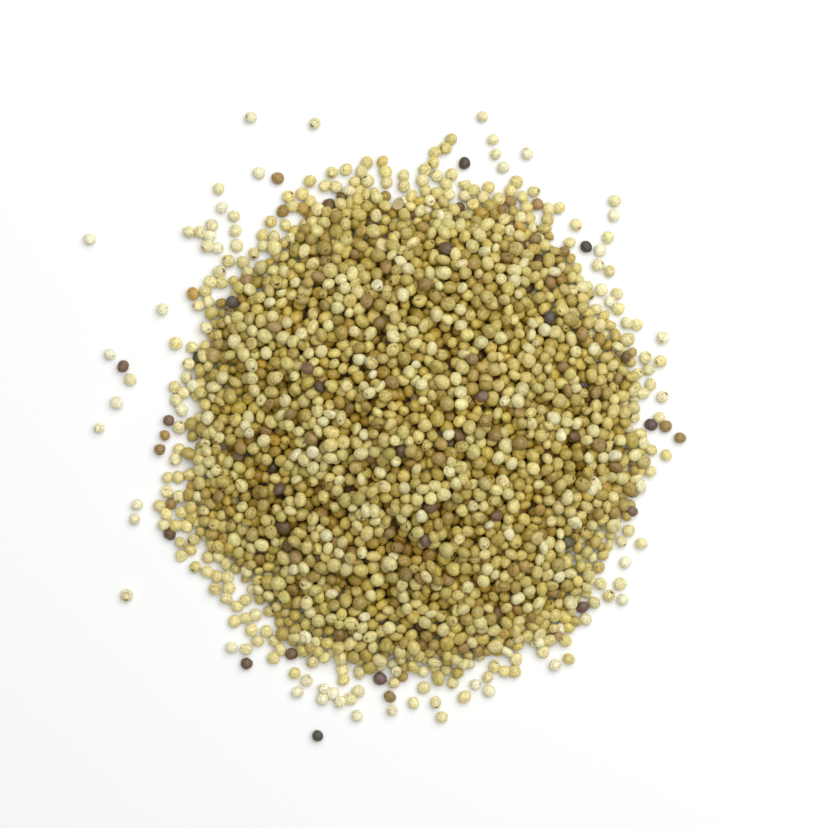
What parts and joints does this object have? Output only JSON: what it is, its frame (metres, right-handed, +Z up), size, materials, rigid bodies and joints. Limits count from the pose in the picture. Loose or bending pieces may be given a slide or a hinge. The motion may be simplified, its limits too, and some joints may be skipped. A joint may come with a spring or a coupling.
{
  "type": "heap of kodo millet grains",
  "caption": "Loose low heap of hulled kodo millet on a flat surface, with single grains scattered round its foot.",
  "frame": {"origin": "on the surface that the heap lies on, under the middle of the heap", "axes": "+Z up from the surface, +Y towards the top edge of the picture and +X to its right"},
  "size_m": [0.0903, 0.0946, 0.0131],
  "materials": {
    "mixed_grain": "dry, mixed cream, yellow and tan grains with dark gaps",
    "pale_grain": "dry, waxy cream",
    "tan_grain": "dry, slightly glassy tan",
    "brown_grain": "dry, reddish brown husk",
    "dark_grain": "dry, dark grey-green husk"
  },
  "bodies": {
    "root": {"millet_heap": "mixed_grain", "grain_clump_01": "pale_grain", "grain_clump_02": "pale_grain", "stray_pale_grain_01": "pale_grain", "stray_pale_grain_02": "pale_grain", "stray_pale_grain_03": "pale_grain", "stray_pale_grain_04": "pale_grain", "stray_pale_grain_05": "pale_grain", "stray_pale_grain_06": "pale_grain", "stray_pale_grain_07": "pale_grain", "stray_pale_grain_08": "pale_grain", "stray_pale_grain_09": "pale_grain", "stray_pale_grain_10": "pale_grain", "stray_pale_grain_11": "pale_grain", "stray_pale_grain_12": "pale_grain", "stray_pale_grain_13": "pale_grain", "stray_pale_grain_14": "pale_grain", "stray_pale_grain_15": "pale_grain", "stray_pale_grain_16": "pale_grain", "stray_pale_grain_17": "pale_grain", "stray_pale_grain_18": "pale_grain", "stray_pale_grain_19": "pale_grain", "stray_pale_grain_20": "pale_grain", "stray_pale_grain_21": "pale_grain", "stray_pale_grain_22": "pale_grain", "stray_pale_grain_23": "pale_grain", "stray_pale_grain_24": "pale_grain", "stray_pale_grain_25": "pale_grain", "stray_pale_grain_26": "pale_grain", "stray_pale_grain_27": "pale_grain", "stray_pale_grain_28": "pale_grain", "stray_pale_grain_29": "pale_grain", "stray_pale_grain_30": "pale_grain", "stray_pale_grain_31": "pale_grain", "stray_pale_grain_32": "pale_grain", "stray_pale_grain_33": "pale_grain", "stray_pale_grain_34": "pale_grain", "stray_pale_grain_35": "pale_grain", "stray_pale_grain_36": "pale_grain", "stray_pale_grain_37": "pale_grain", "stray_pale_grain_38": "pale_grain", "stray_pale_grain_39": "pale_grain", "stray_pale_grain_40": "pale_grain", "stray_pale_grain_41": "pale_grain", "stray_pale_grain_42": "pale_grain", "stray_pale_grain_43": "pale_grain", "stray_tan_grain_01": "tan_grain", "stray_tan_grain_02": "tan_grain", "stray_tan_grain_03": "tan_grain", "stray_tan_grain_04": "tan_grain", "stray_brown_grain_01": "brown_grain", "stray_brown_grain_02": "brown_grain", "stray_brown_grain_03": "brown_grain", "stray_dark_grain_01": "dark_grain", "stray_dark_grain_02": "dark_grain", "stray_dark_grain_03": "dark_grain"}
  },
  "joints": []
}
